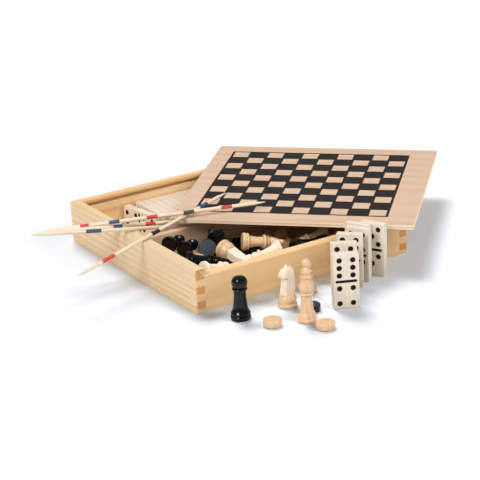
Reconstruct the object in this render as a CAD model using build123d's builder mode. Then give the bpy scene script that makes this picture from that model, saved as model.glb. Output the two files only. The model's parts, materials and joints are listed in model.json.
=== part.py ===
from build123d import *
import os
from math import atan, cos, degrees, radians, sin

# A games compendium: a finger-jointed pine case with a sliding lid that is also the board,
# filled with chessmen, draughtsmen, dominoes and pick-up sticks. Millimetres, +Z up.
# Origin: centre of the case's underside. The low front wall faces -Y.

# ---------------------------------------------------------------- driving dimensions
case_width = 180.0
case_depth = 180.0
case_height = 31.5
wall = 7.5
panel = 3.0
corner_radius = 1.6
rim_chamfer = 0.5
finger = 5.2                 # height of one finger of the corner joints

lip = 2.3                    # wood left above the lid groove
groove_depth = 4.0
lid_thickness = 3.0
lid_play = 0.2               # room over the lid in its groove
lid_side_play = 0.5          # room at each edge of the lid in its groove
lid_setback = 0.5            # lid's front edge behind the case's front face, when shut
lid_corner = 2.0

partition_thickness = 5.0
partition_housing = 2.0      # depth of the housing in each side wall
partition_clearance = 0.4    # partition's top below the lid

lid_turn = -44.8             # the lid lies open on the rims, turned by this
lid_out = 32.15              # its nearest corner, past the case's front face
lid_in = 19.75               # and short of the case's right face

disc_diameter = 13.0
disc_thickness = 4.5

domino_length = 39.0
domino_width = 18.0
domino_thickness = 5.5

stick_end_room = 2.5         # room at each end of a stick that lies in the case
stick_side_room = 1.5        # air between the layers of sticks and the dominoes
stick_diameter = 2.7
stick_point = 9.0            # length of each sharpened end
stick_tip = 0.3

turned_flat_count = 16       # flats that stand for the round of a turned piece
stick_flat_count = 6

gap = 0.15                   # air between loose pieces that lie against each other
row_gap = 1.4                # air between men that lie head to foot
filed_gap = 0.25             # air between dominoes that stand filed in the case
men_play = 2.4               # air along a full column of men, from the front wall to the partition

# ---------------------------------------------------------------- sizes that follow
groove_height = lid_thickness + lid_play
groove_floor = case_height - lip - groove_height
inner_x = case_width / 2 - wall
inner_y = case_depth / 2 - wall
lid_span = case_width - 2 * (wall - groove_depth) - 2 * lid_side_play
lid_length = case_depth - (wall - groove_depth) - lid_side_play - lid_setback
disc_radius = disc_diameter / 2
stick_radius = stick_diameter / 2
stick_length = 2 * (inner_x - stick_end_room)
right_face, front_face = case_width / 2, -case_depth / 2
lid_top = case_height + lid_thickness

# ---------------------------------------------------------------- turner's templates
# Each profile is a list of (radius, height) from the foot up.
pawn_profile = [
    (5.9, 0), (5.9, 2.4), (3.2, 8.0), (2.5, 14.4), (3.9, 15.4), (2.3, 16.8), (3.3, 19.6), (1.7, 22.4),
]
rook_profile = [
    (6.9, 0), (6.9, 2.4), (6.3, 5.4), (4.3, 12.0), (3.9, 20.0), (4.6, 21.6), (4.3, 23.2),
    (5.4, 25.0), (5.3, 29.0), (4.2, 30.4),
]
bishop_profile = [
    (6.2, 0), (6.2, 2.6), (4.2, 5.6), (3.5, 14.6), (4.7, 16.0), (4.5, 18.2), (2.9, 19.4),
    (3.5, 21.6), (0.8, 31.0),
]
queen_profile = [
    (6.9, 0), (6.9, 2.2), (5.6, 4.4), (3.3, 11.0), (3.0, 18.2), (4.0, 19.4), (3.5, 21.2),
    (5.0, 23.6), (4.9, 27.4), (3.3, 30.4), (4.1, 31.8), (2.6, 34.6), (3.2, 35.8), (1.6, 38.6),
    (2.6, 41.0), (1.3, 43.8),
]
king_profile = [
    (7.0, 0), (7.0, 2.4), (5.6, 4.8), (3.5, 12.0), (3.2, 21.0), (4.3, 22.4), (3.4, 24.2),
    (4.9, 27.6), (5.2, 33.2), (2.0, 36.0), (1.4, 40.6),
]
king_cross = 4.6             # width and height of the cross on the king
knight_foot = [(6.7, 0), (6.7, 2.4), (5.9, 3.0), (5.9, 5.6), (4.8, 8.4), (4.4, 8.8)]
# the knight's head as (forward, height), round its side view from the back of the neck up
knight_side = [
    (-3.5, 8.8), (-4.9, 13.6), (-4.8, 22.4), (-3.4, 27.0), (-1.4, 29.6), (0.2, 27.4), (2.8, 26.3),
    (5.1, 23.8), (5.2, 21.6), (4.4, 21.1), (1.4, 21.1), (1.4, 20.1), (2.7, 20.1), (3.9, 8.8),
]
# and its front view as (half width, height): neck, jaw, cheek, brow and ear
knight_front = [(3.35, 8.8), (2.4, 20.1), (2.8, 21.6), (2.5, 26.3), (1.8, 29.6)]
ear_notch = (0.4, 2.6)       # half width and depth of the notch between the ears

front_room = bishop_profile[-1][1] + row_gap + king_profile[-1][1] + king_cross + men_play
partition_y = front_room + partition_thickness / 2 - inner_y

os.makedirs("parts", exist_ok=True)


def save(builder, name):
    """Label one finished sub-part and write it as its own STEP file."""
    builder.part.label = name
    export_step(builder.part, f"parts/{name}.step")


def vertical_edges_at(builder, x, y):
    """The vertical edges on one outer corner of the case."""
    edges = builder.edges().filter_by(Axis.Z)
    return edges.filter_by(lambda e: abs(e.center().X - x) < 0.01 and abs(e.center().Y - y) < 0.01)


def finger_heights(start):
    """Heights of every second finger: start 0 for the side walls, 1 for front and back."""
    count = int((groove_floor - panel) // finger)
    return [panel + i * finger for i in range(start, count + 1, 2)]


# ---------------------------------------------------------------- case
with BuildPart() as bottom_panel:
    with BuildSketch():
        RectangleRounded(case_width, case_depth, corner_radius)
    extrude(amount=panel)
save(bottom_panel, "bottom_panel")


def side_wall(side):
    """A side wall: side is -1 on the left, +1 on the right."""
    outer = side * case_width / 2
    inner = side * inner_x
    with BuildPart() as wall_part:
        with BuildSketch(Plane.XZ.offset(-case_depth / 2)):
            with BuildLine():
                Polyline(
                    (outer, panel), (outer, case_height), (inner, case_height), (inner, panel), close=True
                )
            make_face()
        extrude(amount=case_depth)
        # lid groove, open at the front, stopped in line with the back wall's groove
        groove_end = case_depth / 2 - (wall - groove_depth)
        with BuildSketch(Plane.XY.offset(groove_floor)):
            with Locations((inner + side * groove_depth / 2, (groove_end - case_depth / 2) / 2)):
                Rectangle(groove_depth, groove_end + case_depth / 2)
        extrude(amount=groove_height, mode=Mode.SUBTRACT)
        # housing that takes the partition's end
        with BuildSketch(Plane.XY.offset(panel)):
            with Locations((inner + side * partition_housing / 2, partition_y)):
                Rectangle(partition_housing, partition_thickness)
        extrude(amount=groove_floor - panel, mode=Mode.SUBTRACT)
        # notches for the fingers of the front and back walls
        for height in finger_heights(1):
            with BuildSketch(Plane.XY.offset(height)):
                with GridLocations(0, case_depth - wall, 1, 2):
                    with Locations((side * (case_width - wall) / 2, 0)):
                        Rectangle(wall, wall)
            extrude(amount=finger, mode=Mode.SUBTRACT)
        fillet(vertical_edges_at(wall_part, outer, case_depth / 2), corner_radius)
        fillet(vertical_edges_at(wall_part, outer, -case_depth / 2), corner_radius)
        rims = wall_part.edges().filter_by(Axis.Y).group_by(Axis.Z)[-1]
        chamfer(rims, rim_chamfer)
    return wall_part


left_wall = side_wall(-1)
save(left_wall, "left_wall")
right_wall = side_wall(1)
save(right_wall, "right_wall")


def end_wall(side, height):
    """The front (side -1) or back (side +1) wall, between the side walls, with its fingers."""
    centre_y = side * (case_depth - wall) / 2
    with BuildPart() as wall_part:
        with BuildSketch(Plane.XY.offset(panel)):
            with Locations((0, centre_y)):
                Rectangle(2 * inner_x, wall)
        extrude(amount=height - panel)
        for level in finger_heights(1):
            with BuildSketch(Plane.XY.offset(level)):
                with Locations((0, centre_y)):
                    Rectangle(case_width, wall)
            extrude(amount=finger)
        for corner_x in (-case_width / 2, case_width / 2):
            fillet(vertical_edges_at(wall_part, corner_x, side * case_depth / 2), corner_radius)
        if height > groove_floor:
            with BuildSketch(Plane.XY.offset(groove_floor)):
                with Locations((0, side * (inner_y + groove_depth / 2))):
                    Rectangle(2 * inner_x, groove_depth)
            extrude(amount=groove_height, mode=Mode.SUBTRACT)
        rims = wall_part.edges().filter_by(Axis.X).group_by(Axis.Z)[-1]
        chamfer(rims, rim_chamfer)
    return wall_part


back_wall = end_wall(1, case_height)
save(back_wall, "back_wall")
front_wall = end_wall(-1, groove_floor)
save(front_wall, "front_wall")

with BuildPart() as partition:
    with BuildSketch(Plane.XY.offset(panel)):
        with Locations((0, partition_y)):
            Rectangle(2 * (inner_x + partition_housing), partition_thickness)
    extrude(amount=groove_floor - partition_clearance - panel)
    chamfer(partition.edges().filter_by(Axis.X).group_by(Axis.Z)[-1], rim_chamfer)
save(partition, "partition")

# ---------------------------------------------------------------- lid, lying open on the rims
lid_run = Vector(cos(radians(lid_turn)), sin(radians(lid_turn)))
lid_cross = Vector(-lid_run.Y, lid_run.X)
lid_front_corner = Vector(right_face - lid_in, front_face - lid_out, case_height)
lid_left_corner = lid_front_corner - lid_run * lid_length
lid_plane = Plane(
    origin=lid_left_corner + lid_run * (lid_length / 2) + lid_cross * (lid_span / 2),
    x_dir=lid_run,
    z_dir=(0, 0, 1),
)
with BuildPart() as lid:
    with BuildSketch(lid_plane):
        RectangleRounded(lid_length, lid_span, lid_corner)
    extrude(amount=lid_thickness)
save(lid, "lid")

# ---------------------------------------------------------------- turned and carved chessmen
def turned(profile, flats=turned_flat_count):
    """A piece turned about Z from its profile, with narrow flat panels for the round."""
    turns = [radians(360 * k / flats) for k in range(flats)]
    rings = [[Vector(r * cos(turn), r * sin(turn), h) for turn in turns] for r, h in profile]
    panels = [Face(Wire.make_polygon(ring, close=True)) for ring in (rings[0], rings[-1])]
    for low, high in zip(rings, rings[1:]):
        for k in range(flats):
            corners = (low[k - 1], low[k], high[k], high[k - 1])
            panels.append(Face(Wire.make_polygon(corners, close=True)))
    return Solid(Shell(panels))


def king():
    """The king: a turned stem that carries a small cross."""
    top = king_profile[-1][1]
    bar = king_cross / 3
    with BuildPart() as piece:
        add(turned(king_profile))
        with BuildSketch(Plane.XZ.offset(-bar / 2)):
            with Locations((0, top + king_cross / 2)):
                Rectangle(bar, king_cross)
                Rectangle(king_cross, bar)
        extrude(amount=bar)
    return piece.part


def knight():
    """The knight: a turned foot that carries a carved head, nose to +X."""
    reach = max(abs(forward) for forward, height in knight_side)
    half_notch, notch_depth = ear_notch
    right_half = knight_front + [(half_notch, knight_front[-1][1])]
    left_half = [(-half_width, height) for half_width, height in reversed(right_half)]
    with BuildPart() as piece:
        with BuildSketch(Plane.XZ):
            with BuildLine():
                Polyline(*knight_side, close=True)
            make_face()
        extrude(amount=knight_front[0][0], both=True)
        # the front view trims the sawn head to its neck, jaw, cheeks and two ears
        with BuildSketch(Plane.YZ):
            with BuildLine():
                Polyline(*right_half, (0, right_half[-1][1] - notch_depth), *left_half, close=True)
            make_face()
        extrude(amount=reach, both=True, mode=Mode.INTERSECT)
        add(turned(knight_foot))
    return piece.part


def lean_of(profile):
    """How far a piece lying down dips towards its head, in degrees: it rests on two rings."""
    foot_radius, foot_height = profile[1]
    rings = [(r, h) for r, h in profile[2:] if h > foot_height]
    return degrees(atan(min((foot_radius - r) / (h - foot_height) for r, h in rings)))


def standing(x, y, turn=0.0, on=0.0):
    """Where a piece stands upright at (x, y)."""
    return Location((x, y, on), (0, 0, turn))


def lying(profile, x, y, heading, on):
    """Where a turned piece lies on a level at height on, foot at (x, y), head towards heading."""
    dip = radians(lean_of(profile))
    height = on + max(h * sin(dip) + r * cos(dip) for r, h in profile)
    course = radians(heading)
    axis = (cos(course) * cos(dip), sin(course) * cos(dip), -sin(dip))
    side = (-sin(course), cos(course), 0)
    return Plane(origin=(x, y, height), x_dir=side, z_dir=axis).location


def place(name, *groups):
    """Save pieces as one node; each group is one kind of piece and the list of its spots."""
    with BuildPart() as node:
        for solid, spots in groups:
            with Locations(*spots):
                add(solid)
    save(node, name)


pawn = turned(pawn_profile)
rook = turned(rook_profile)
bishop = turned(bishop_profile)
queen = turned(queen_profile)
king_man = king()
knight_man = knight()
knight_rests = knight_foot + knight_front[1:]  # what a knight that lies on its cheek can rest on


def set_out(across, out, turn=0.0):
    """Where a piece stands in front of the case, from the corner of its front and right faces."""
    return standing(right_face - across, front_face - out, turn)


place("black_rook_standing", (rook, [set_out(160.5, 24.6)]))
place("natural_knight_standing", (knight_man, [set_out(124.0, 26.3, 190)]))
place("natural_queen_standing", (queen, [set_out(127.7, 54.8)]))
place("natural_pawn_standing", (pawn, [set_out(98.2, 14.3)]))

# ---------------------------------------------------------------- draughtsmen
disc = turned([(disc_radius, 0), (disc_radius, disc_thickness)])

place("natural_draughtsman_standing_1", (disc, [set_out(150.3, 47.4)]))
place("natural_draughtsman_standing_2", (disc, [set_out(125.4, 72.5)]))
place("black_draughtsman_standing", (disc, [set_out(116.0, 42.5)]))

# ---------------------------------------------------------------- men in the front compartment
floor_level = panel + gap
column_pitch = 2 * king_profile[0][0] + gap
first_column = -inner_x + king_profile[0][0] + gap
front_row_y = -inner_y + gap
back_row_y = front_row_y + bishop_profile[-1][1] + row_gap


def packed(profile, number, y):
    """A man's place on the floor of the case in one column, foot towards the front wall at y."""
    heel = profile[0][0] * sin(radians(lean_of(profile)))
    return lying(profile, first_column + number * column_pitch, y + heel, 90, floor_level)


def pawn_pairs(*columns):
    """Places of two pawns head to foot in each of these columns of the back row."""
    step = pawn_profile[-1][1] + row_gap / 2
    return [packed(pawn_profile, number, back_row_y + k * step) for number in columns for k in (0, 1)]


# bottom layer: a front row and a back row of men, and stacks of draughtsmen to their right
place(
    "black_men_packed",
    (knight_man, [packed(knight_rests, 0, front_row_y)]),
    (bishop, [packed(bishop_profile, 1, front_row_y)]),
    (queen, [packed(queen_profile, 0, back_row_y)]),
    (king_man, [packed(king_profile, 4, back_row_y)]),
    (pawn, pawn_pairs(1, 3, 5)),
)
place(
    "natural_men_packed",
    (rook, [packed(rook_profile, 2, front_row_y), packed(rook_profile, 3, front_row_y)]),
    (bishop, [packed(bishop_profile, 4, front_row_y)]),
    (king_man, [packed(king_profile, 2, back_row_y)]),
    (pawn, pawn_pairs(6, 7)),
)

stack_pitch = disc_diameter + gap
stack_lift = disc_thickness + gap
stacks_left = first_column + 4 * column_pitch + king_profile[0][0] + gap + disc_radius
stacks_front = front_row_y + disc_radius
stack_columns = int((inner_x + disc_radius - stacks_left) // stack_pitch)
stack_rows = int((front_room - gap) // stack_pitch)
clear_of_men = first_column + 7 * column_pitch + king_profile[0][0] + gap + disc_radius


def stack_spots(shade, count):
    """Spots of one shade's draughtsmen, in stacks that alternate with the other's like a board's cells."""
    cells = [(i, k) for k in range(stack_rows) for i in range(stack_columns) if (i + k) % 2 == shade]
    front = [cell for cell in cells if cell[1] < 2]
    right = [cell for cell in front if cell[0] > 3]
    behind = [cell for cell in cells if cell[1] > 1 and stacks_left + cell[0] * stack_pitch > clear_of_men]
    spots = [(cell, level) for level in (0, 1) for cell in front]
    spots += [(cell, level) for level in (2, 3) for cell in right]
    spots += [(cell, level) for cell in behind for level in range(4)]
    return [
        standing(
            stacks_left + i * stack_pitch, stacks_front + k * stack_pitch, 0, floor_level + level * stack_lift
        )
        for (i, k), level in spots[:count]
    ]


place("black_draughtsmen_stacked", (disc, stack_spots(0, 18)))
place("natural_draughtsmen_stacked", (disc, stack_spots(1, 17)))

# the men that lie loose on top of them
upper_level = floor_level + 2 * king_profile[0][0] + gap
stack_level = floor_level + 2 * stack_lift


def tossed(profile, across, back, heading):
    """Where a man lies on the men below, from the compartment's front left corner."""
    return lying(profile, across - inner_x, back - inner_y, heading, upper_level)


place("black_pawn_lying_1", (pawn, [tossed(pawn_profile, 14.1, 63.5, 33)]))
place("black_pawn_lying_2", (pawn, [tossed(pawn_profile, 18.0, 48.5, 38)]))
place("black_bishop_lying", (bishop, [tossed(bishop_profile, 8.0, 29.5, -28)]))
place("black_knight_lying", (knight_man, [tossed(knight_rests, 45.5, 49.5, 60)]))
place("natural_bishop_lying", (bishop, [tossed(bishop_profile, 57.7, 35.1, -24)]))
place("natural_knight_lying", (knight_man, [tossed(knight_rests, 39.0, 32.0, -77)]))
place("natural_pawn_lying_1", (pawn, [tossed(pawn_profile, 71.6, 8.5, 172)]))
place("natural_pawn_lying_2", (pawn, [tossed(pawn_profile, 8.0, 7.0, 6)]))

# and those on the stacks
rook_x, rook_y = stacks_left + 7.6, 10.0 - inner_y
place("black_rook_lying", (rook, [lying(rook_profile, rook_x, rook_y, 0, stack_level)]))
pawn_x, pawn_y = stacks_left + 45.7, 25.3 - inner_y
place("natural_pawn_lying_3", (pawn, [lying(pawn_profile, pawn_x, pawn_y, 176, stack_level)]))


def leaning_disc(across, back, heading, tilt):
    """A draughtsman that stands on its rim, face turned to heading and tipped up by tilt."""
    course, rise = radians(heading), radians(tilt)
    height = upper_level + disc_radius * cos(rise) + disc_thickness * max(0.0, -sin(rise))
    face = (cos(course) * cos(rise), sin(course) * cos(rise), sin(rise))
    return Plane(origin=(across - inner_x, back - inner_y, height), z_dir=face).location


place("black_draughtsman_leaning", (disc, [leaning_disc(32.5, 40.5, 238, 24)]))
place("natural_draughtsman_lying", (disc, [standing(19.0 - inner_x, 36.0 - inner_y, 0, upper_level)]))

# ---------------------------------------------------------------- dominoes
with BuildPart() as domino_builder:
    with BuildSketch(Plane.XY):
        Rectangle(domino_width, domino_thickness, align=(Align.CENTER, Align.MIN))
    extrude(amount=domino_length)
domino = domino_builder.part

# curved row in front of the case: centre of each face's foot, and the way the face's edge runs
domino_row = [
    (95.6, 55.3, -25), (84.5, 37.9, -31), (71.5, 26.4, -44),
    (60.7, 20.2, -62), (55.7, 13.8, -62), (46.5, 19.2, -62),
]
for number, spot in enumerate(domino_row, start=1):
    place(f"domino_standing_{number}", (domino, [set_out(*spot)]))

# the rest stand on their long edges in the back compartment
filed_y = inner_y - gap - domino_length
filed_count = 28 - len(domino_row)
filed_pitch = domino_thickness + filed_gap


def filed(x, turn=0.0, forward=0.0):
    """A domino on its long edge, face towards -X, near end at filed_y less forward."""
    return Plane(
        origin=(x, filed_y - forward, panel + domino_width / 2),
        x_dir=(0, 0, 1),
        z_dir=(sin(radians(turn)), cos(radians(turn)), 0),
    ).location


row_x = [inner_x - gap - domino_thickness - i * filed_pitch for i in range(filed_count - 1)]
place("dominoes_filed", (domino, [filed(x) for x in row_x]))
place("domino_filed_first", (domino, [filed(row_x[-1] - filed_pitch, -8, 0.8)]))

# ---------------------------------------------------------------- pick-up sticks
stick_profile = [
    (stick_tip, 0), (stick_radius, stick_point),
    (stick_radius, stick_length - stick_point), (stick_tip, stick_length),
]
stick = turned(stick_profile, stick_flat_count)


def over(rest, through, out):
    """Where a stick lies over one point towards another, its tip out beyond the first."""
    run = (Vector(*through) - Vector(*rest)).normalized()
    return Plane(origin=Vector(*rest) - run * out, z_dir=run).location


# each loose stick rests on the left wall's rim, and all but the sloping two on the lid's left corner
corner_x, corner_y = lid_left_corner.X, lid_left_corner.Y
place("stick_upper", (stick, [over(
    (-right_face, partition_y + 7.2, case_height + 7.67), (corner_x, corner_y - 6.0, lid_top + 4.79), 54.61,
)]))
place("stick_diagonal", (stick, [over(
    (-right_face, corner_y - 22.17, case_height + 1.66), (corner_x, corner_y - 10.09, lid_top + 1.31), 66.46,
)]))
place("stick_sloping_1", (stick, [over(
    (-inner_x, partition_y + 1.9, case_height + 1.55),
    (73.48 - inner_x, partition_y + 6.23, case_height - 13.26), 84.91,
)]))
place("stick_sloping_2", (stick, [over(
    (-inner_x, partition_y + 10.64, case_height + 1.55),
    (97.03 - inner_x, partition_y + 9.9, case_height - 13.8), 61.76,
)]))

# and the rest lie in layers between the partition and the dominoes
flat_pitch = stick_diameter + 0.05
first_y = partition_y + partition_thickness / 2 + gap + stick_radius
layer_count = int((filed_y - stick_side_room - first_y + stick_radius) // flat_pitch)


def laid(number):
    """A stick's place in the layers that lie along the case."""
    y = first_y + number % layer_count * flat_pitch
    z = panel + stick_radius + number // layer_count * flat_pitch
    return Plane(origin=(-stick_length / 2, y, z), z_dir=(1, 0, 0)).location


place("sticks_in_case", (stick, [laid(number) for number in range(27)]))
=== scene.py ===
import json
from collections import namedtuple
from math import atan, ceil, cos, degrees, pi, radians, sin

import bmesh
import bpy
from mathutils import Matrix, Vector


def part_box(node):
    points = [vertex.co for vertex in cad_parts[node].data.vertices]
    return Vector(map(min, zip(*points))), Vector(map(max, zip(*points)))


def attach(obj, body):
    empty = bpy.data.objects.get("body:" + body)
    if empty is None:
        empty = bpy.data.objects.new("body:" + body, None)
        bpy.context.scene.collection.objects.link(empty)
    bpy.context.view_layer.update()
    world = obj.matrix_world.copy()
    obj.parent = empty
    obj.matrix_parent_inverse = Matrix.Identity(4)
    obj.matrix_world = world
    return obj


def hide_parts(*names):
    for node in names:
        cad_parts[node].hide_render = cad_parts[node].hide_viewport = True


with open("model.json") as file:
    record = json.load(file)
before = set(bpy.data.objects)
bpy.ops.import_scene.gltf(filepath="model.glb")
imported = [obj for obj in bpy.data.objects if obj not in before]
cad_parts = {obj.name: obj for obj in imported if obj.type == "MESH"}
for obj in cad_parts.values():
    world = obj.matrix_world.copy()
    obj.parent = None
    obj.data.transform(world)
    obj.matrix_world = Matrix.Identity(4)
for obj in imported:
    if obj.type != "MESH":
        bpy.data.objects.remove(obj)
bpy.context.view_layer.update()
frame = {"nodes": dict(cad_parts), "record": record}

# A games compendium: a finger-jointed pine case, its lid that is also the board, and the
# turned chessmen, draughtsmen, dominoes and pick-up sticks that go in it.
# Shapes are written in millimetres and become metres where a mesh is made.

MM = 0.001
frame_nodes = frame["nodes"]
body_of_node = {n: body for body, nodes in frame["record"]["behaviour"]["bodies"].items() for n in nodes}


# ---------------------------------------------------------------- what the frame says of each solid
Flat = namedtuple("Flat", "normal centre corners area")
WELD_GAP = 0.002 * MM         # corners nearer than this are one corner
SAME_FLAT = radians(0.5)      # faces that turn less than this from each other are one flat
ROUND_WITHIN = 1.03           # a round flat's farthest corner over its nearest
NECK_SHARE = 0.4              # a knight's sawn head is above this share of its height
LYING_AXIS = 0.7              # a piece lies down where its axis climbs less than this


def solids_of(node):
    """The flats of each separate solid in a CAD node."""
    mesh = bmesh.new()
    mesh.from_mesh(frame_nodes[node].data)
    bmesh.ops.remove_doubles(mesh, verts=mesh.verts, dist=WELD_GAP)
    bmesh.ops.dissolve_limit(mesh, angle_limit=SAME_FLAT, verts=mesh.verts, edges=mesh.edges)
    mesh.faces.ensure_lookup_table()
    solids, seen = [], set()
    for first in mesh.faces:
        if first.index in seen:
            continue
        seen.add(first.index)
        waiting, flats = [first], []
        while waiting:
            face = waiting.pop()
            corners = [v.co.copy() for v in face.verts]
            flats.append(Flat(face.normal.copy(), face.calc_center_median(), corners, face.calc_area()))
            for edge in face.edges:
                for other in edge.link_faces:
                    if other.index not in seen:
                        seen.add(other.index)
                        waiting.append(other)
        solids.append(flats)
    mesh.free()
    return solids


def is_round(flat):
    """True for the end of a turned piece: every corner as far from the centre as the next."""
    reach = [(corner - flat.centre).length for corner in flat.corners]
    return len(reach) > 4 and max(reach) < ROUND_WITHIN * min(reach)


def matrix_on(origin, z_axis, x_axis):
    """A piece's place from its origin, its upward axis and roughly its x axis."""
    z_axis = z_axis.normalized()
    x_axis = (x_axis - z_axis * x_axis.dot(z_axis)).normalized()
    y_axis = z_axis.cross(x_axis)
    return Matrix((
        (x_axis.x, y_axis.x, z_axis.x, origin.x),
        (x_axis.y, y_axis.y, z_axis.y, origin.y),
        (x_axis.z, y_axis.z, z_axis.z, origin.z),
        (0, 0, 0, 1),
    ))


def turned_place(flats):
    """Place and height in millimetres of a turned solid: its foot is its widest round flat."""
    foot = max(filter(is_round, flats), key=lambda f: (round(f.area / MM**2), -f.centre.z))
    axis = -foot.normal
    height = max((corner - foot.centre).dot(axis) for flat in flats for corner in flat.corners)
    sideways = Vector((0, 0, 1)) if abs(axis.z) < LYING_AXIS else Vector((1, 0, 0))
    return matrix_on(foot.centre, axis, sideways), height / MM


def knight_place(flats):
    """Place of a knight: the sawn head's cheeks give its sides, and its nose gives its front."""
    upright, height = turned_place(flats)
    origin, axis = upright.translation, upright.col[2].xyz
    cheek = max((f for f in flats if not is_round(f)), key=lambda f: f.area)
    nose = cheek.normal.cross(axis).normalized()
    neck = NECK_SHARE * height * MM
    head = [c - origin for f in flats for c in f.corners if (c - origin).dot(axis) > neck]
    if max(c.dot(-nose) for c in head) > max(c.dot(nose) for c in head):
        nose = -nose
    return matrix_on(origin, axis, nose)


def domino_place(flats, towards):
    """Place of a domino: origin at its foot, -Y out of the face that is turned towards a direction."""
    face = max(flats, key=lambda f: (round(f.area / MM**2), f.normal.dot(towards)))
    longest = max(((b - a) for a, b in zip(face.corners, face.corners[1:])), key=lambda run: run.length)
    up = longest.normalized()
    if up.dot(Vector((0, 1, 1))) < 0:
        up = -up
    foot = face.centre - up * longest.length / 2
    return matrix_on(foot, up, up.cross(face.normal))


def stick_place(flats):
    """Place of a stick from its left end along its length."""
    left, right = sorted(sorted(flats, key=lambda f: f.area)[:2], key=lambda f: f.centre.x)
    return matrix_on(left.centre, right.centre - left.centre, Vector((0, 0, 1)))


# ---------------------------------------------------------------- shapes, in millimetres
Shape = namedtuple("Shape", "points faces finishes")
ARC_STEP = 14                 # degrees of a bead or cove to each short straight
MAN_SIDES, DISC_SIDES, STICK_SIDES = 48, 56, 20
CREASE = radians(38)          # a sharper turn than this shows as an edge
ON_AXIS = 1e-6


def outline(*strokes):
    """A turner's outline from (radius, height, bulge): bulge above 0 is a bead, below 0 a cove."""
    points = [Vector(strokes[0][:2])]
    for radius, height, *bulge in strokes[1:]:
        start, end = points[-1], Vector((radius, height))
        if not bulge:
            points.append(end)
            continue
        bend = bulge[0]
        chord = end - start
        left = Vector((-chord.y, chord.x)) / 2
        centre = (start + end) / 2 + left * (1 - bend**2) / (2 * bend)
        sweep = 4 * atan(bend)
        steps = max(2, ceil(abs(degrees(sweep)) / ARC_STEP))
        spoke = start - centre
        for k in range(1, steps):
            points.append(centre + Matrix.Rotation(sweep * k / steps, 2) @ spoke)
        points.append(end)
    return points


def lathe(profile, sides=MAN_SIDES, finish_at=lambda height: 0):
    """A solid turned about Z from an outline that starts and ends on the axis."""
    rings = [p for p in profile if p.x > ON_AXIS]
    points = [Vector((0, 0, profile[0].y))]
    for ring in rings:
        for k in range(sides):
            turn = 2 * pi * k / sides
            points.append(Vector((ring.x * cos(turn), ring.x * sin(turn), ring.y)))
    points.append(Vector((0, 0, profile[-1].y)))
    top = 1 + (len(rings) - 1) * sides
    faces, finishes = [], []
    for k in range(sides):
        after = (k + 1) % sides
        faces.append((0, 1 + after, 1 + k))
        finishes.append(finish_at(rings[0].y))
        for i in range(len(rings) - 1):
            low, high = 1 + i * sides, 1 + (i + 1) * sides
            faces.append((low + k, low + after, high + after, high + k))
            finishes.append(finish_at((rings[i].y + rings[i + 1].y) / 2))
        faces.append((top + k, top + after, len(points) - 1))
        finishes.append(finish_at(rings[-1].y))
    return Shape(points, faces, finishes)


def sawn(side_view, thickness):
    """A mesh of a board sawn to its side view in X and Z, and centred on Y."""
    mesh = bmesh.new()
    face = mesh.faces.new([mesh.verts.new((x, -thickness / 2, z)) for x, z in side_view])
    far = bmesh.ops.extrude_face_region(mesh, geom=[face])["geom"]
    far_points = [v for v in far if isinstance(v, bmesh.types.BMVert)]
    bmesh.ops.translate(mesh, verts=far_points, vec=(0, thickness, 0))
    return mesh


def ease(mesh, edges, width, profile=0.5):
    """Round edges over, as sandpaper does."""
    bmesh.ops.bevel(
        mesh, geom=edges, offset=width, segments=2, profile=profile, affect="EDGES", clamp_overlap=True)


def shape_from(mesh, finish=None):
    """A shape from a bmesh, which is then freed, with one finish or the faces' own."""
    mesh.verts.index_update()
    shape = Shape(
        [v.co.copy() for v in mesh.verts],
        [tuple(v.index for v in face.verts) for face in mesh.faces],
        [face.material_index if finish is None else finish for face in mesh.faces],
    )
    mesh.free()
    return shape


def joined(*shapes):
    """Several shapes as one."""
    points, faces, finishes = [], [], []
    for shape in shapes:
        base = len(points)
        points += shape.points
        faces += [tuple(i + base for i in face) for face in shape.faces]
        finishes += shape.finishes
    return Shape(points, faces, finishes)


def piece(node, made_by, placed, materials):
    """One object in place of a CAD node, from shapes and their places.

    Each point keeps its place in a blank of wood, shifted by the shape's number and by the length of the
    piece's name.
    """
    name = f"{node}_{made_by}"
    data = bpy.data.meshes.new(name)
    points, faces, finishes, blank = [], [], [], []
    for number, (shape, matrix) in enumerate(placed):
        base = len(points)
        points += [matrix @ (p * MM) for p in shape.points]
        faces += [tuple(i + base for i in face) for face in shape.faces]
        finishes += shape.finishes
        shift = Vector((31.0 * number, 17.0 * number, 53.0 * number + 7.0 * len(name)))
        blank += [(p + shift) * MM for p in shape.points]
    data.from_pydata(points, [], faces)
    data.polygons.foreach_set("material_index", finishes)
    for material in materials:
        data.materials.append(material)
    grain = data.attributes.new("blank", "FLOAT_VECTOR", "POINT")
    grain.data.foreach_set("vector", [c for p in blank for c in p])
    data.shade_smooth()
    data.set_sharp_from_angle(angle=CREASE)
    data.validate()
    made = bpy.data.objects.new(name, data)
    bpy.context.scene.collection.objects.link(made)
    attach(made, body_of_node[node])
    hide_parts(node)


# ---------------------------------------------------------------- materials
WOOD_IOR = 1.5
NOISE_LOW, NOISE_HIGH = 0.3, 0.7                 # nearly all of a noise lies between these
COLOUR_A, COLOUR_B, COLOUR_OUT = 6, 7, 2         # a Mix node's colour sockets
RINGS_APART = 2 * pi / 20                        # between a wave texture's rings at scale 1

# Sizes in millimetres of what breaks up a surface. Wood's fibres and pores are 0.03 to 0.3 mm across
# and paint's specks finer still, too fine to show, so they are drawn coarser.
FIBRE_WIDTH, FIBRE_LENGTH = 0.625, 22.2
CLOUD_WIDTH, CLOUD_LENGTH = 22.2, 88.9           # the slow drift of a board's colour
PORE, SPECK = 1.43, 1.11
RING_DRIFT = 0.1              # how fast rings wander along the grain, as a share of across it


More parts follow.
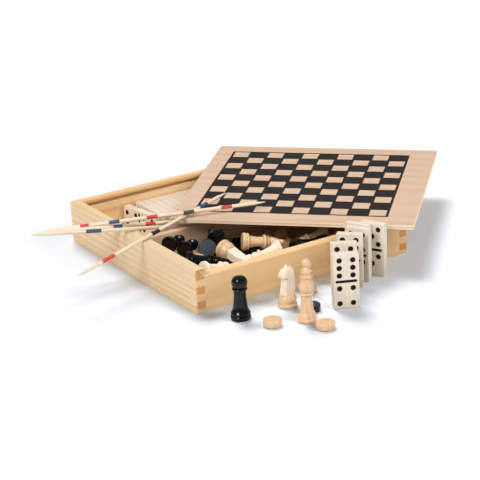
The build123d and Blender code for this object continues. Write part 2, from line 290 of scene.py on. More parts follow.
def linear(hex_colour, alpha=1.0):
    """An sRGB hex colour as linear red, green, blue and alpha."""
    parts = [int(hex_colour[i:i + 2], 16) / 255 for i in (1, 3, 5)]
    return tuple(c / 12.92 if c <= 0.04045 else ((c + 0.055) / 1.055) ** 2.4 for c in parts) + (alpha,)


def add(tree, kind, inputs=None, stops=None, **settings):
    """Add a shader node with its settings, its input values or links, and a ramp's stops."""
    made = tree.nodes.new("ShaderNode" + kind)
    for key, value in settings.items():
        setattr(made, key, value)
    for socket, value in (inputs or {}).items():
        if isinstance(value, bpy.types.NodeSocket):
            tree.links.new(value, made.inputs[socket])
        else:
            made.inputs[socket].default_value = value
    if stops:
        ramp = made.color_ramp.elements
        while len(ramp) < len(stops):
            ramp.new(1.0)
        for element, (position, colour) in zip(ramp, stops):
            element.position, element.color = position, colour
    return made


def new_material(name):
    """A material with no nodes yet, and its node tree."""
    material = bpy.data.materials.new(name)
    material.use_nodes = True
    material.node_tree.nodes.clear()
    return material, material.node_tree


def finish_material(tree, colour, inputs, bump=None, bump_mm=0.0):
    """Put colour, the shader's own values and a bump on a Principled surface."""
    values = dict(inputs)
    values["Base Color"] = colour
    if bump is not None:
        relief = add(tree, "Bump", {"Height": bump, "Distance": bump_mm * MM, "Strength": 1.0})
        values["Normal"] = relief.outputs["Normal"]
    shader = add(tree, "BsdfPrincipled", values)
    add(tree, "OutputMaterial", {"Surface": shader.outputs["BSDF"]})


def own_place(tree):
    """Where a point is in the CAD node, which is where its board was cut."""
    return add(tree, "TexCoord").outputs["Object"]


def blank_place(tree):
    """Where a point is in the small blank of wood that its piece was turned from."""
    return add(tree, "Attribute", attribute_name="blank", attribute_type="GEOMETRY").outputs["Vector"]


def per_metre(across_mm, along_mm, axis):
    """A pattern's scale from its size across the grain and its run along it."""
    scale = [1 / (across_mm * MM)] * 3
    scale[axis] = 1 / (along_mm * MM)
    return scale


def wood_colour(tree, place, along, early, late, ring_mm, pith_mm, wander, tilt, fibre_share, blotch):
    """Solid wood cut from a log, as its colour and its fibres' height.

    Growth rings lie ring_mm apart round a pith that runs along one axis, tilted a little. They are
    strong in some places and faint in others, and fibres and slow clouds vary the colour.
    """
    middle = tuple((a + b) / 2 for a, b in zip(linear(early), linear(late)))
    axis = "XYZ".index(along)
    stretched, turn = [1.0, 1.0, 1.0], [0.0, 0.0, 0.0]
    stretched[axis] = RING_DRIFT
    turn[(axis + 1) % 3] = radians(tilt)
    log = add(tree, "Mapping", {
        "Vector": place, "Location": [c * MM for c in pith_mm], "Rotation": turn, "Scale": stretched,
    })
    rings = add(
        tree, "TexWave",
        {"Vector": log.outputs[0], "Scale": RINGS_APART / (ring_mm * MM), "Distortion": wander,
         "Detail": 2.5, "Detail Scale": 0.35, "Detail Roughness": 0.5},
        wave_type="RINGS", rings_direction=along, wave_profile="SAW",
    )
    ring_tone = add(tree, "ValToRGB", {"Fac": rings.outputs["Fac"]}, stops=[
        (0.0, middle), (0.15, linear(early)), (0.5, linear(early)), (0.85, linear(late)), (1.0, linear(late)),
    ])
    fibre_place = add(tree, "Mapping", {
        "Vector": place, "Scale": per_metre(FIBRE_WIDTH, FIBRE_LENGTH, axis),
    })
    fibres = add(tree, "TexNoise", {"Vector": fibre_place.outputs[0], "Scale": 1.0, "Detail": 3.0})
    fibre_tone = add(tree, "MapRange", {
        "Value": fibres.outputs["Fac"], "From Min": NOISE_LOW, "From Max": NOISE_HIGH,
        "To Min": 1.0 - fibre_share, "To Max": 1.0 + 0.4 * fibre_share,
    })
    cloud_place = add(tree, "Mapping", {
        "Vector": place, "Scale": per_metre(CLOUD_WIDTH, CLOUD_LENGTH, axis),
    })
    clouds = add(tree, "TexNoise", {"Vector": cloud_place.outputs[0], "Scale": 1.0, "Detail": 2.0})
    cloud_tone = add(tree, "MapRange", {
        "Value": clouds.outputs["Fac"], "From Min": NOISE_LOW, "From Max": NOISE_HIGH,
        "To Min": 1.0 - blotch, "To Max": 1.0 + 0.5 * blotch,
    })
    ring_strength = add(tree, "MapRange", {
        "Value": clouds.outputs["Fac"], "From Min": 0.35, "From Max": 0.65, "To Min": 0.2,
    })
    uneven_rings = add(tree, "Mix", {
        "Factor": ring_strength.outputs[0], COLOUR_A: linear(early), COLOUR_B: ring_tone.outputs["Color"],
    }, data_type="RGBA")
    tone = add(tree, "Math", {0: fibre_tone.outputs[0], 1: cloud_tone.outputs[0]}, operation="MULTIPLY")
    shade = add(
        tree, "VectorMath", {0: uneven_rings.outputs[COLOUR_OUT], "Scale": tone.outputs[0]},
        operation="SCALE",
    )
    return shade.outputs[0], fibres.outputs["Fac"]


def end_grain(tree, colour, along, end_colour):
    """Darken the sawn ends, where the faces look along the grain and the pores drink the light."""
    direction = add(tree, "SeparateXYZ", {"Vector": add(tree, "TexCoord").outputs["Normal"]})
    facing = add(tree, "Math", {0: direction.outputs["XYZ".index(along)]}, operation="ABSOLUTE")
    share = add(tree, "MapRange", {"Value": facing.outputs[0], "From Min": 0.75, "From Max": 0.95})
    fine = add(tree, "TexNoise", {"Vector": own_place(tree), "Scale": 1 / (PORE * MM), "Detail": 2.0})
    pores = add(tree, "MapRange", {"Value": fine.outputs["Fac"], "To Min": 0.75, "To Max": 1.2})
    ends = add(
        tree, "VectorMath", {0: linear(end_colour)[:3], "Scale": pores.outputs[0]}, operation="SCALE")
    mixed = add(
        tree, "Mix", {"Factor": share.outputs[0], COLOUR_A: colour, COLOUR_B: ends.outputs[0]},
        data_type="RGBA",
    )
    return mixed.outputs[COLOUR_OUT]


def planed_pine(name, early, late, ends, along, pith_mm, ring_mm, wander, tilt=8.0):
    """Pine, planed and left bare: pale early wood, orange late wood, a dry sheen, fibres to feel."""
    material, tree = new_material(name)
    colour, fibres = wood_colour(
        tree, own_place(tree), along, early, late, ring_mm, pith_mm, wander, tilt,
        fibre_share=0.06, blotch=0.06,
    )
    colour = end_grain(tree, colour, along, ends)
    finish_material(
        tree, colour, {"Roughness": 0.55, "IOR": WOOD_IOR, "Specular IOR Level": 0.3}, fibres, 0.02)
    return material


def lacquered(name, early, late):
    """Fine-grained turned wood under clear lacquer: a soft highlight over the grain."""
    material, tree = new_material(name)
    colour, fibres = wood_colour(
        tree, blank_place(tree), "Z", early, late, ring_mm=3.6, pith_mm=(16.0, 8.0, 0.0), wander=3.0,
        tilt=6.0, fibre_share=0.05, blotch=0.08,
    )
    values = {"Roughness": 0.28, "IOR": WOOD_IOR, "Coat Weight": 0.6, "Coat Roughness": 0.16}
    finish_material(tree, colour, values, fibres, 0.01)
    return material


def sanded(name, early, late, roughness):
    """Wood sanded smooth and left bare: close rings, visible fibres and no highlight."""
    material, tree = new_material(name)
    colour, fibres = wood_colour(
        tree, blank_place(tree), "Z", early, late, ring_mm=1.2, pith_mm=(9.0, 4.0, 0.0), wander=2.5,
        tilt=5.0, fibre_share=0.12, blotch=0.05,
    )
    finish_material(tree, colour, {"Roughness": roughness, "IOR": WOOD_IOR}, fibres, 0.02)
    return material


def coloured(name, hex_colour, roughness, specular=0.5, speck=0.12, bump_mm=0.01):
    """Paint, stain or dye on wood: its colour breaks up a little where the grain drinks it."""
    material, tree = new_material(name)
    fine = add(tree, "TexNoise", {"Vector": blank_place(tree), "Scale": 1 / (SPECK * MM), "Detail": 3.0})
    tone = add(tree, "MapRange", {
        "Value": fine.outputs["Fac"], "To Min": 1.0 - speck, "To Max": 1.0 + speck,
    })
    shade = add(
        tree, "VectorMath", {0: linear(hex_colour)[:3], "Scale": tone.outputs[0]}, operation="SCALE")
    finish_material(
        tree, shade.outputs[0], {"Roughness": roughness, "Specular IOR Level": specular},
        fine.outputs["Fac"], bump_mm,
    )
    return material


# beech, turned and sprayed with clear lacquer: warm, with faint rings under a soft shine
beech = lacquered("lacquered_beech", "#e4bf96", "#dbae7f")
# maple, sawn and sanded: nearly white, dull, with its grain hardly seen
maple = sanded("sanded_maple", "#fbe8d0", "#f4d9b8", 0.45)
# black lacquer, dipped on turned wood: deep black with small hard highlights
black_lacquer = coloured("dipped_black_lacquer", "#070708", 0.13, 0.32, 0.3, 0.002)
# black stain on a draughtsman's sawn faces: a grey bloom, rough, with no shine
black_stain = coloured("brushed_black_stain", "#3b4047", 0.65, 0.3, 1.0, 0.08)
# basswood, cut and sanded: cream, even, with fine fibres
basswood = sanded("sanded_basswood", "#eadbc8", "#e5d2b8", 0.48)
# black paint in the dominoes' hollows: flat, so that they read as holes
hollow_paint = coloured("brushed_black_paint", "#100e10", 0.5, 0.2, 0.3)
# birch, drawn through a die and left bare: pale yellow and dry
birch = sanded("drawn_birch", "#f0dec6", "#e6cdaa", 0.55)
# dye, rolled on in bands: colour with the wood's own dull surface
red_dye = coloured("rolled_red_dye", "#d2493f", 0.45)
blue_dye = coloured("rolled_blue_dye", "#46557a", 0.45)
green_dye = coloured("rolled_green_dye", "#465a55", 0.45)
black_dye = coloured("rolled_black_dye", "#2a2a2c", 0.45)


# ---------------------------------------------------------------- turned chessmen, millimetres
KING_STEM_TOP, KING_CROSS = 40.6, 4.6
PAWN = outline(
    (0, 0), (5.4, 0), (5.9, 0.5, 0.4), (5.9, 2.0), (5.4, 2.6, 0.4), (3.2, 8.0, -0.16), (2.5, 14.2, -0.06),
    (3.6, 14.9), (3.6, 15.9, 1.0), (2.3, 16.8), (0, 22.4, 0.68),
)
ROOK = outline(
    (0, 0), (6.3, 0), (6.9, 0.6, 0.4), (6.9, 2.0), (6.4, 2.9, 0.4), (6.1, 3.3), (6.2, 5.2, 0.6),
    (4.7, 10.6, -0.12), (4.1, 20.4, -0.04), (4.5, 20.7), (4.6, 22.3, 0.8), (4.2, 22.8), (5.0, 23.8, 0.3),
    (5.4, 26.4, 0.12), (4.7, 28.6, 0.16), (2.8, 30.0, 0.2), (0, 30.4, 0.05),
)
BISHOP = outline(
    (0, 0), (5.6, 0), (6.2, 0.6, 0.4), (6.2, 2.4, 0.2), (5.5, 2.9, 0.3), (5.6, 4.6, 0.8), (4.4, 5.4),
    (3.5, 14.6, -0.08), (4.0, 15.0), (4.4, 17.2, 0.8), (3.2, 17.8), (3.9, 18.4), (3.9, 19.2, 0.9),
    (2.9, 19.6), (3.3, 22.6, 0.25), (1.7, 27.4, -0.02), (1.9, 28.0), (0, 31.0, 0.3),
)
QUEEN = outline(
    (0, 0), (6.2, 0), (6.9, 0.6, 0.4), (6.9, 2.0), (6.3, 2.6, 0.4), (6.1, 3.2), (5.4, 5.4, 0.2),
    (4.2, 11.5, -0.14), (3.6, 18.4, -0.04), (4.3, 18.8), (4.3, 20.4, 0.9), (3.8, 20.8), (4.7, 22.6, 0.2),
    (4.9, 24.6, 0.25), (4.6, 26.8, 0.3), (3.5, 30.2, 0.1), (3.9, 30.8), (3.7, 32.4, 0.8), (2.8, 33.2, -0.1),
    (3.2, 34.2, 0.3), (3.0, 36.0, 0.8), (1.4, 38.45, -0.15), (0, 43.8, 0.77),
)
KING = outline(
    (0, 0), (6.3, 0), (7.0, 0.6, 0.4), (7.0, 2.2), (6.4, 2.8, 0.4), (5.5, 4.9, 0.2), (3.5, 12.0, -0.18),
    (3.2, 21.0, -0.03), (4.1, 21.5), (4.1, 23.3, 0.9), (3.5, 24.2), (4.9, 27.8, -0.08), (5.1, 33.0, 0.1),
    (2.1, 35.9, 0.3), (1.4, 36.4), (1.4, KING_STEM_TOP), (0, KING_STEM_TOP),
)
KNIGHT_FOOT = outline(
    (0, 0), (6.1, 0), (6.7, 0.6, 0.4), (6.7, 1.9), (6.1, 2.6, 0.4), (5.7, 3.0), (5.9, 6.6, 0.35),
    (4.9, 8.1, 0.2), (4.4, 8.6), (3.4, 8.2), (0, 8.2),
)
DRAUGHTSMAN = outline((0, 0), (6.0, 0), (6.5, 0.5, 0.4), (6.5, 4.0), (6.0, 4.5, 0.4), (0, 4.5))

# the knight's head from the side, up its back and down its front, and half of it from the front
KNIGHT_SIDE = [
    (-3.5, 8.2), (-4.7, 12.0), (-5.0, 16.6), (-4.8, 22.4), (-4.3, 24.9), (-3.4, 27.0), (-1.4, 29.6),
    (0.2, 27.4), (1.6, 27.0), (2.8, 26.2), (5.0, 24.0), (5.4, 22.8), (5.2, 21.6), (4.4, 21.1), (1.4, 21.1),
    (1.4, 20.1), (2.7, 20.1), (3.0, 16.0), (3.9, 8.2),
]
KNIGHT_FRONT = [(3.35, 8.2), (2.4, 20.1), (2.8, 21.6), (2.5, 26.3), (1.8, 29.6)]
EAR_TOP, EAR_NOTCH, EAR_FOOT = 29.6, 2.6, 26.0
SHARP_CUT, CUT_EASED, CROSS_EASED = radians(28), 0.4, 0.2


def king():
    """The king: a turned stem with a small cross let into its top."""
    top, arm = KING_STEM_TOP, KING_CROSS / 3
    cross = sawn([
        (-arm / 2, top), (arm / 2, top), (arm / 2, top + arm), (KING_CROSS / 2, top + arm),
        (KING_CROSS / 2, top + 2 * arm), (arm / 2, top + 2 * arm), (arm / 2, top + 3 * arm),
        (-arm / 2, top + 3 * arm), (-arm / 2, top + 2 * arm), (-KING_CROSS / 2, top + 2 * arm),
        (-KING_CROSS / 2, top + arm), (-arm / 2, top + arm),
    ], arm)
    bmesh.ops.recalc_face_normals(cross, faces=cross.faces)
    rims = [e for e in cross.edges if abs(e.verts[0].co.y - e.verts[1].co.y) < ON_AXIS]
    ease(cross, rims, CROSS_EASED)
    return joined(lathe(KING), shape_from(cross))


def half_width_at(height):
    """Half the width of the knight's head at a height, from its front view."""
    for (low_width, low), (high_width, high) in zip(KNIGHT_FRONT, KNIGHT_FRONT[1:]):
        if height <= high:
            return low_width + (high_width - low_width) * max(0.0, height - low) / (high - low)
    return KNIGHT_FRONT[-1][0]


def knight():
    """The knight: a turned foot and a sawn head, tapered from the front, with a notch between the ears."""
    head = sawn(KNIGHT_SIDE, 2 * KNIGHT_FRONT[0][0])
    cuts = [((0, 0, z), (0, 0, 1)) for _, z in KNIGHT_FRONT[1:-1]] + [((0, 0, 0), (0, 1, 0))]
    for point, normal in cuts:
        everything = head.verts[:] + head.edges[:] + head.faces[:]
        bmesh.ops.bisect_plane(head, geom=everything, plane_co=point, plane_no=normal)
    for v in head.verts:
        limit = half_width_at(v.co.z)
        v.co.y = max(-limit, min(limit, v.co.y))
        if abs(v.co.y) < ON_AXIS and v.co.z > EAR_TOP - 0.01:
            v.co.z -= EAR_NOTCH
    ear_faces = [f for f in head.faces if f.normal.z > 0.3 and f.calc_center_median().z > EAR_FOOT]
    bmesh.ops.triangulate(head, faces=ear_faces)
    bmesh.ops.recalc_face_normals(head, faces=head.faces)
    ease(head, [e for e in head.edges if e.is_manifold and e.calc_face_angle() > SHARP_CUT], CUT_EASED)
    return joined(lathe(KNIGHT_FOOT), shape_from(head, finish=1))


def disc_finish(height):
    """A draughtsman's two faces have a finish of their own."""
    return 2 if height in (DRAUGHTSMAN[0].y, DRAUGHTSMAN[-1].y) else 0


MEN = {
    "pawn": lathe(PAWN), "rook": lathe(ROOK), "bishop": lathe(BISHOP), "queen": lathe(QUEEN),
    "king": king(), "knight": knight(), "draughtsman": lathe(DRAUGHTSMAN, DISC_SIDES, disc_finish),
}
HEIGHTS = {
    "pawn": PAWN[-1].y, "rook": ROOK[-1].y, "bishop": BISHOP[-1].y, "queen": QUEEN[-1].y,
    "king": KING_STEM_TOP + KING_CROSS, "knight": EAR_TOP, "draughtsman": DRAUGHTSMAN[-1].y,
}


def man_placed(flats):
    """The kind of man that a solid is, by its height, and its place."""
    place, height = turned_place(flats)
    kind = min(HEIGHTS, key=lambda name: abs(HEIGHTS[name] - height))
    return MEN[kind], knight_place(flats) if kind == "knight" else place


# finishes for turned wood, for a knight's sawn head and for a draughtsman's faces
SHADES = {
    "black": (black_lacquer, black_lacquer, black_stain),
    "natural": (beech, maple, beech),
}
PALE_MEN = ("natural_pawn_lying_1", "natural_pawn_lying_2")  # pawns turned from the paler wood
for node in frame_nodes:
    shade = node.split("_")[0]
    if shade in SHADES:
        finishes = (maple, maple, maple) if node in PALE_MEN else SHADES[shade]
        placed = [man_placed(flats) for flats in solids_of(node)]
        piece(node, "turned", placed, finishes)


# ---------------------------------------------------------------- dominoes, millimetres
DOMINO = Vector((18.0, 5.5, 39.0))
DOMINO_EASED = 0.55
PIP_X, PIP_Z, PIP_RADIUS, PIP_SIDES = 4.6, 5.4, 1.9, 16
LOWER_MIDDLE, BAR_HEIGHT, UPPER_MIDDLE = 9.3, 19.6, 29.3
BAR_LENGTH, BAR_WIDTH, BAR_END_STEPS = 15.0, 1.9, 4
# each ring of a hollow as its share of the rim and its depth
PIP_HOLLOW = ((0.86, 0.35), (0.2, 0.75))
BAR_HOLLOW = ((1.0, 0.4),)
SPOTS = {
    0: [], 1: [(0, 0)], 2: [(1, 1), (-1, -1)], 3: [(1, 1), (0, 0), (-1, -1)],
    4: [(-1, -1), (-1, 1), (1, -1), (1, 1)], 5: [(-1, -1), (-1, 1), (0, 0), (1, -1), (1, 1)],
    6: [(-1, -1), (-1, 0), (-1, 1), (1, -1), (1, 0), (1, 1)],
}


def pip_rim(x, z):
    """The rim of a drilled pip."""
    turns = [2 * pi * k / PIP_SIDES for k in range(PIP_SIDES)]
    return [(x + PIP_RADIUS * cos(a), 0, z + PIP_RADIUS * sin(a)) for a in turns]


def bar_rim():
    """The rim of the routed bar, round at both ends."""
    rim, half, radius = [], BAR_LENGTH / 2 - BAR_WIDTH / 2, BAR_WIDTH / 2
    for side, start in ((1, -pi / 2), (-1, pi / 2)):
        for k in range(BAR_END_STEPS + 1):
            turn = start + pi * k / BAR_END_STEPS
            rim.append((side * half + radius * cos(turn), 0, BAR_HEIGHT + radius * sin(turn)))
    return rim


def domino(upper, lower):
    """A domino with its face to -Y: rounded edges, drilled and blacked pips and a routed bar."""
    mesh = bmesh.new()
    bmesh.ops.create_cube(mesh, size=1.0)
    bmesh.ops.scale(mesh, verts=mesh.verts, vec=DOMINO)
    bmesh.ops.translate(mesh, verts=mesh.verts, vec=(0, DOMINO.y / 2, DOMINO.z / 2))
    bmesh.ops.bevel(mesh, geom=mesh.edges[:], offset=DOMINO_EASED, segments=2, profile=0.6, affect="EDGES")
    front = max(mesh.faces, key=lambda f: f.calc_area() * (f.normal.y < -0.9))
    edges = list(front.edges)
    mesh.faces.remove(front)
    middles = [
        (column * PIP_X, centre + row * PIP_Z)
        for count, centre in ((upper, UPPER_MIDDLE), (lower, LOWER_MIDDLE)) for column, row in SPOTS[count]
    ]
    hollows = [(pip_rim(x, z), Vector((x, 0, z)), PIP_HOLLOW) for x, z in middles]
    hollows.append((bar_rim(), Vector((0, 0, BAR_HEIGHT)), BAR_HOLLOW))
    rims = []
    for points, _, _ in hollows:
        rim = [mesh.verts.new(p) for p in points]
        edges += [mesh.edges.new((rim[i - 1], rim[i])) for i in range(len(rim))]
        rims.append(rim)
    bmesh.ops.triangle_fill(mesh, use_beauty=True, use_dissolve=False, edges=edges, normal=(0, -1, 0))
    for rim, (_, centre, rings) in zip(rims, hollows):
        above = rim
        for share, depth in rings:
            inner = [centre + (v.co - centre) * share for v in rim]
            below = [mesh.verts.new((p.x, depth, p.z)) for p in inner]
            for i in range(len(rim)):
                mesh.faces.new((above[i - 1], above[i], below[i], below[i - 1])).material_index = 1
            above = below
        mesh.faces.new(above).material_index = 1
    bmesh.ops.recalc_face_normals(mesh, faces=mesh.faces)
    return shape_from(mesh)


def drill(node, values, towards):
    """Put drilled dominoes in place of a CAD node's plain ones, faces turned towards a direction."""
    placed = [
        (domino(*value), domino_place(flats, Vector(towards)))
        for value, flats in zip(values, solids_of(node))
    ]
    piece(node, "drilled", placed, (basswood, hollow_paint))


STANDING_VALUES = {1: (6, 4), 2: (5, 4), 3: (6, 5), 4: (4, 3), 5: (5, 2), 6: (5, 3)}
FIRST_FILED = (5, 5)
used_values = [*STANDING_VALUES.values(), FIRST_FILED]
left_values = [(a, b) for a in range(7) for b in range(a + 1) if (a, b) not in used_values]
for number, value in STANDING_VALUES.items():
    drill(f"domino_standing_{number}", [value], (0, -1, 0))
drill("domino_filed_first", [FIRST_FILED], (-1, 0, 0))
drill("dominoes_filed", left_values, (-1, 0, 0))


# ---------------------------------------------------------------- pick-up sticks, millimetres
STICK_LENGTH, STICK_RADIUS, STICK_POINT, STICK_TIP = 160.0, 1.35, 9.0, 0.3
STICK_FINISHES = (birch, red_dye, blue_dye, green_dye, black_dye)
BAND_FINISHES = {"red": 1, "blue": 2, "green": 3, "black": 4}
PACKED_BANDS = [(20, 27, "red"), (43, 51, "blue"), (109, 117, "blue"), (133, 140, "red")]
BANDS = {
    "stick_upper": [
        (24, 30.3, "red"), (44.7, 52.4, "blue"), (72, 80, "red"), (99, 107, "green"), (127, 135, "red"),
    ],
    "stick_diagonal": [(24.4, 36.8, "red"), (76, 84, "black"), (129, 138, "blue")],
    "stick_sloping_1": [(42.7, 55.4, "blue")],
    "stick_sloping_2": [(47.8, 55.3, "blue"), (74.2, 82.4, "red")],
}


def stick(bands):
    """A round stick sharpened at both ends, with its dyed bands."""
    heights = {0.0, STICK_TIP * 0.6, STICK_POINT, STICK_LENGTH - STICK_POINT, STICK_LENGTH}
    heights |= {edge for start, end, _ in bands for edge in (start, end)}
    profile = [Vector((0, 0))]
    for height in sorted(heights):
        share = min(1.0, min(height, STICK_LENGTH - height) / STICK_POINT)
        profile.append(Vector((STICK_TIP + (STICK_RADIUS - STICK_TIP) * share, height)))
    profile.append(Vector((0, STICK_LENGTH)))

    def finish_at(height):
        return next((BAND_FINISHES[tone] for start, end, tone in bands if start < height < end), 0)

    return lathe(profile, STICK_SIDES, finish_at)


for node in frame_nodes:
    if node.startswith("stick"):
        bands = BANDS.get(node, PACKED_BANDS)
        placed = [(stick(bands), stick_place(flats)) for flats in solids_of(node)]
        piece(node, "dyed", placed, STICK_FINISHES)


# ---------------------------------------------------------------- case
def clothe(node, material):
    """Give a CAD node its material."""
    data = frame_nodes[node].data
    data.materials.clear()
    data.materials.append(material)


# the side walls' ends are the fingers that show at the corners
PINE_FINGER_ENDS, PINE_END, PLY_END = "#d89a5c", "#e2c59a", "#e6c496"
clothe("left_wall", planed_pine(
    "planed_pine_left", "#e4c9a2", "#d8ae7c", PINE_FINGER_ENDS,
    along="Y", pith_mm=(60.0, 0.0, 62.0), ring_mm=4.8, wander=9.0, tilt=10.0,
))
clothe("right_wall", planed_pine(
    "planed_pine_right", "#e6cca4", "#dab07c", PINE_FINGER_ENDS,
    along="Y", pith_mm=(-60.0, 0.0, 25.0), ring_mm=6.5, wander=5.0,
))
clothe("front_wall", planed_pine(
    "planed_pine_front", "#efcb9a", "#e6ba84", PINE_END,
    along="X", pith_mm=(0.0, 150.0, -30.0), ring_mm=9.0, wander=3.0, tilt=6.0,
))
clothe("back_wall", planed_pine(
    "planed_pine_back", "#eccb9e", "#e0b078", PINE_END,
    along="X", pith_mm=(0.0, -130.0, 20.0), ring_mm=7.0, wander=3.0,
))
clothe("partition", planed_pine(
    "planed_pine_partition", "#e6c6a2", "#dab48c", PINE_END,
    along="X", pith_mm=(0.0, -30.0, 24.0), ring_mm=8.0, wander=4.0,
))
clothe("bottom_panel", planed_pine(
    "sanded_pine_plywood", "#ebcda0", "#e0ba86", PLY_END,
    along="X", pith_mm=(0.0, -10.0, 60.0), ring_mm=8.0, wander=5.0,
))


# ---------------------------------------------------------------- lid, millimetres
LID_TURN = radians(-44.8)
BOARD_CELLS, BOARD_SPAN = 10, 140.0
BOARD_SHIFT = (-3.4, 1.1)     # the printed board's middle from the lid's
LINE_SHARE = 0.07             # half a printed line, as a share of a cell
INK_DEPTH = 0.1


def farther_side(tree, vector):
    """The larger of a vector's x and y, whatever their signs."""
    lengths = add(tree, "VectorMath", {0: vector}, operation="ABSOLUTE")
    x, y, _ = add(tree, "SeparateXYZ", {"Vector": lengths.outputs[0]}).outputs
    return add(tree, "Math", {0: x, 1: y}, operation="MAXIMUM").outputs[0]


def printed_plywood(name):
    """Birch plywood, sanded and screen printed: pinkish veneer under flat black cells, pale plies at
    the edge with one dark glue line."""
    material, tree = new_material(name)
    low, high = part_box("lid")
    centre = (low + high) / 2
    centred = add(
        tree, "VectorMath", {0: own_place(tree), 1: (-centre.x, -centre.y, -high.z)}, operation="ADD")
    straight = add(
        tree, "VectorRotate", {"Vector": centred.outputs[0], "Angle": -LID_TURN}, rotation_type="Z_AXIS")
    veneer, fibres = wood_colour(
        tree, straight.outputs[0], "X", "#d8b99e", "#cfab8c", ring_mm=14.0, pith_mm=(0.0, 40.0, 30.0),
        wander=6.0, tilt=3.0, fibre_share=0.07, blotch=0.04,
    )

    # the board, counted in cells from its middle
    cell = BOARD_SPAN / BOARD_CELLS
    cells = add(tree, "Mapping", {
        "Vector": straight.outputs[0], "Location": (-BOARD_SHIFT[0] / cell, -BOARD_SHIFT[1] / cell, 0.0),
        "Scale": [1 / (cell * MM)] * 3,
    }).outputs[0]
    reach = farther_side(tree, cells)
    on_cells = add(tree, "Math", {0: reach, 1: BOARD_CELLS / 2}, operation="LESS_THAN")
    on_print = add(tree, "Math", {0: reach, 1: BOARD_CELLS / 2 + LINE_SHARE}, operation="LESS_THAN")
    column_row = add(tree, "VectorMath", {0: cells}, operation="FLOOR")
    column, row, _ = add(tree, "SeparateXYZ", {"Vector": column_row.outputs[0]}).outputs
    total = add(tree, "Math", {0: column, 1: row}, operation="ADD")
    odd = add(tree, "Math", {0: total.outputs[0], 1: 2.0}, operation="FLOORED_MODULO")
    in_cell = add(tree, "VectorMath", {0: cells}, operation="FRACTION")
    from_cell_middle = add(tree, "VectorMath", {0: in_cell.outputs[0], 1: (0.5,) * 3}, operation="SUBTRACT")
    off_lines = add(
        tree, "Math", {0: farther_side(tree, from_cell_middle.outputs[0]), 1: 0.5 - LINE_SHARE},
        operation="LESS_THAN",
    )
    clear = add(tree, "Math", {0: off_lines.outputs[0], 1: odd.outputs[0]}, operation="MULTIPLY")
    pale_cell = add(tree, "Math", {0: clear.outputs[0], 1: on_cells.outputs[0]}, operation="MULTIPLY")
    ink = add(tree, "Math", {0: on_print.outputs[0], 1: pale_cell.outputs[0]}, operation="SUBTRACT")
    depth = add(tree, "SeparateXYZ", {"Vector": centred.outputs[0]}).outputs["Z"]
    on_top = add(tree, "Math", {0: depth, 1: -INK_DEPTH * MM}, operation="GREATER_THAN")
    printed = add(tree, "Math", {0: ink.outputs[0], 1: on_top.outputs[0]}, operation="MULTIPLY")

    # the plies, which show where a face stands on edge
    up_the_edge = add(tree, "MapRange", {"Value": depth, "From Min": low.z - high.z, "From Max": 0.0})
    plies = add(tree, "ValToRGB", {"Fac": up_the_edge.outputs[0]}, stops=[
        (0.0, linear("#f2dcbe")), (0.5, linear("#e9cda6")), (0.62, linear("#b99771")),
        (0.7, linear("#f4e6d0")),
    ])
    upward = add(tree, "SeparateXYZ", {"Vector": add(tree, "TexCoord").outputs["Normal"]})
    level = add(tree, "Math", {0: upward.outputs["Z"]}, operation="ABSOLUTE")
    on_edge = add(tree, "Math", {0: level.outputs[0], 1: 0.5}, operation="LESS_THAN")
    wood = add(
        tree, "Mix", {"Factor": on_edge.outputs[0], COLOUR_A: veneer, COLOUR_B: plies.outputs[0]},
        data_type="RGBA",
    ).outputs[COLOUR_OUT]
    surface = add(
        tree, "Mix", {"Factor": printed.outputs[0], COLOUR_A: wood, COLOUR_B: linear("#211c1b")},
        data_type="RGBA",
    ).outputs[COLOUR_OUT]
    finish_material(
        tree, surface, {"Roughness": 0.55, "IOR": WOOD_IOR, "Specular IOR Level": 0.3}, fibres, 0.02)
    return material


clothe("lid", printed_plywood("screen_printed_birch_plywood"))


# ---------------------------------------------------------------- floor and light
FLOOR_SIZE = 8.0
bpy.ops.mesh.primitive_plane_add(size=FLOOR_SIZE, location=(0, 0, 0))
floor = bpy.context.object
floor.name = "floor"
# paper, matt and rolled out under the object: white with a trace of blue, and no shine
floor_material, floor_tree = new_material("matt_white_paper")
finish_material(floor_tree, linear("#e3e8ed"), {"Roughness": 0.9, "Specular IOR Level": 0.1})
floor.data.materials.append(floor_material)

world = bpy.data.worlds.new("studio")
world.use_nodes = True
background = world.node_tree.nodes["Background"]
background.inputs["Color"].default_value = linear("#ffffff")
background.inputs["Strength"].default_value = 0.3
bpy.context.scene.world = world

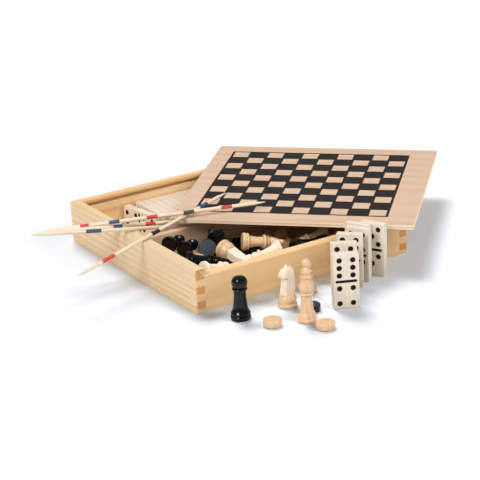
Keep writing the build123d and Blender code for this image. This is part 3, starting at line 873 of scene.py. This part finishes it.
# The paper and the object are lit apart, so that the paper is white round soft shadows while the
# wood keeps its own light and shade.
floor_alone = bpy.data.collections.new("floor_alone")
all_but_floor = bpy.data.collections.new("all_but_floor")
for group, state in ((floor_alone, "INCLUDE"), (all_but_floor, "EXCLUDE")):
    group.objects.link(floor)
    group.collection_objects[0].light_linking.link_state = state


def soft_light(name, position, size, watts, lit, mirrored=False):
    """A square soft box that points at the object, with what it lights and whether gloss mirrors it."""
    data = bpy.data.lights.new(name, "AREA")
    data.shape, data.size, data.energy = "SQUARE", size, watts
    light = bpy.data.objects.new(name, data)
    light.location = position
    light.visible_glossy = mirrored
    light.rotation_euler = (-Vector(position)).to_track_quat("-Z", "Y").to_euler()
    light.light_linking.receiver_collection = lit
    bpy.context.scene.collection.objects.link(light)


soft_light("key", (-1.2, -0.45, 1.15), 0.6, 19.0, all_but_floor, mirrored=True)
soft_light("fill", (0.8, -1.15, 1.2), 0.9, 15.0, all_but_floor)
soft_light("back", (1.0, 1.3, 1.0), 0.6, 10.0, all_but_floor)
soft_light("overhead", (0.0, 0.3, 2.0), 1.4, 6.0, all_but_floor)
soft_light("paper_back", (0.5, 2.2, 3.5), 1.8, 176.0, floor_alone)
soft_light("paper_front", (1.6, -2.2, 1.6), 1.5, 58.0, floor_alone)


# ---------------------------------------------------------------- camera
camera_place = Vector((-0.60083, -0.96526, 0.43554))
heading, dip, roll = radians(57.96), radians(20.75), radians(-2.62)
forward = Vector((cos(dip) * cos(heading), cos(dip) * sin(heading), -sin(dip)))
level = forward.cross(Vector((0, 0, 1))).normalized()
upright = level.cross(forward)
right = level * cos(roll) + upright * sin(roll)
camera_data = bpy.data.cameras.new("camera")
camera_data.lens, camera_data.sensor_width = 122.9, 36.0
camera_data.clip_start, camera_data.clip_end = 0.05, 20.0
camera = bpy.data.objects.new("camera", camera_data)
camera.matrix_world = matrix_on(camera_place, -forward, right)
bpy.context.scene.collection.objects.link(camera)
bpy.context.scene.camera = camera
bpy.context.scene.view_settings.view_transform = "Standard"
